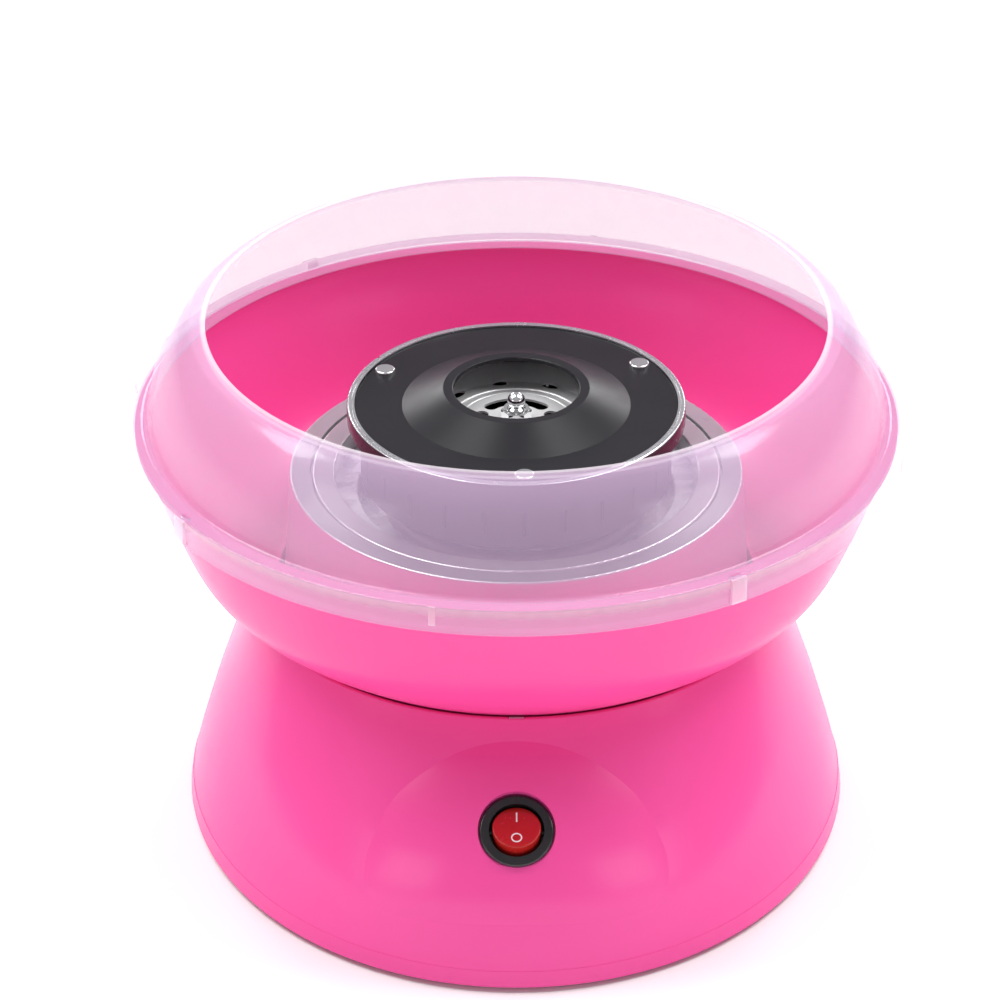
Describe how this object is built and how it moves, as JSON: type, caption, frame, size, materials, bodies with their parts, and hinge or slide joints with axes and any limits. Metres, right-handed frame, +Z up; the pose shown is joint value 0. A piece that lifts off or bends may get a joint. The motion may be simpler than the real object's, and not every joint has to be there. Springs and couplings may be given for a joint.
{
  "type": "cotton candy machine",
  "caption": "Table-top cotton candy machine: flared base with a rocker switch, heater dish, spinning sugar head, lift-off bowl and clear guard ring.",
  "frame": {"origin": "centre of the foot, where the feet stand on the table", "axes": "+Z up along the spinning axis, -Y towards the switch, +X to the right seen from the front"},
  "size_m": [0.2498, 0.2544, 0.1718],
  "materials": {
    "pink_plastic": "gloss",
    "clear_guard": "milky clear",
    "satin_aluminium": "satin",
    "galvanised_sheet": "spangled",
    "bright_aluminium": "polished",
    "black_lid": "satin",
    "black_plastic": "satin",
    "dark_plastic": "matt",
    "red_rocker": "gloss",
    "white_print": "matt",
    "steel": "satin",
    "chrome": "polished",
    "brass": "satin",
    "copper": "enamelled",
    "ceramic": "matt",
    "carbon": "matt",
    "ferrite": "matt",
    "rubber": "matt",
    "board": "satin"
  },
  "bodies": {
    "base": {"base_shell": "pink_plastic", "bottom_cover": "pink_plastic", "rubber_feet": "rubber", "cover_screws": "steel", "cord_gland": "black_plastic", "switch_housing": "black_plastic", "switch_blades": "brass", "bowl_catch": "chrome", "dish_shell": "satin_aluminium", "dish_ring": "satin_aluminium", "dish_tray": "galvanised_sheet", "dish_screws": "steel", "heater_element": "steel", "heater_bushes": "ceramic", "heater_saddles": "ceramic", "sensor_strip": "steel", "thermostat": "dark_plastic", "heat_shield": "galvanised_sheet", "upper_spacers": "steel", "lower_spacers": "steel", "spacer_bolts": "steel", "spacer_nuts": "steel", "motor_grommets": "rubber", "motor_plate": "galvanised_sheet", "motor_screws": "steel", "motor_can": "steel", "motor_end_cap": "dark_plastic", "motor_bushes": "brass", "motor_magnets": "ferrite", "motor_brushes": "carbon", "motor_tags": "brass", "board_pillars": "pink_plastic", "rectifier_board": "board", "rectifier_diodes": "dark_plastic", "smoothing_capacitor": "dark_plastic"},
    "rocker": {"switch_rocker": "red_rocker", "switch_marks": "white_print"},
    "rotor": {"motor_shaft": "steel", "rotor_core": "steel", "rotor_windings": "copper", "commutator": "copper", "drive_spindle": "chrome", "drive_pin": "steel"},
    "head": {"head_pan": "bright_aluminium", "head_rim": "bright_aluminium", "head_lid": "black_lid", "lid_rivets": "bright_aluminium", "sugar_cup": "satin_aluminium", "head_hub": "bright_aluminium", "hub_plate": "satin_aluminium", "hub_nut": "chrome"},
    "bowl": {"bowl": "pink_plastic"},
    "guard": {"guard": "clear_guard"}
  },
  "joints": [
    {"name": "switch_rock", "type": "hinge", "parent": "base", "child": "rocker", "pos_m": [0, -0.10886, 0.04763], "axis": [1, 0, 0], "range_deg": [0, 34]},
    {"name": "head_spin", "type": "hinge", "parent": "base", "child": "rotor", "pos_m": [0, 0, 0.0915], "axis": [0, 0, 1], "continuous": true},
    {"name": "head_lift", "type": "slide", "parent": "rotor", "child": "head", "axis": [0, 0, 1], "range_m": [0, 0.04]},
    {"name": "bowl_lift", "type": "slide", "parent": "base", "child": "bowl", "axis": [0, 0, 1], "range_m": [0, 0.06]},
    {"name": "guard_lift", "type": "slide", "parent": "bowl", "child": "guard", "axis": [0, 0, 1], "range_m": [0, 0.03]}
  ]
}
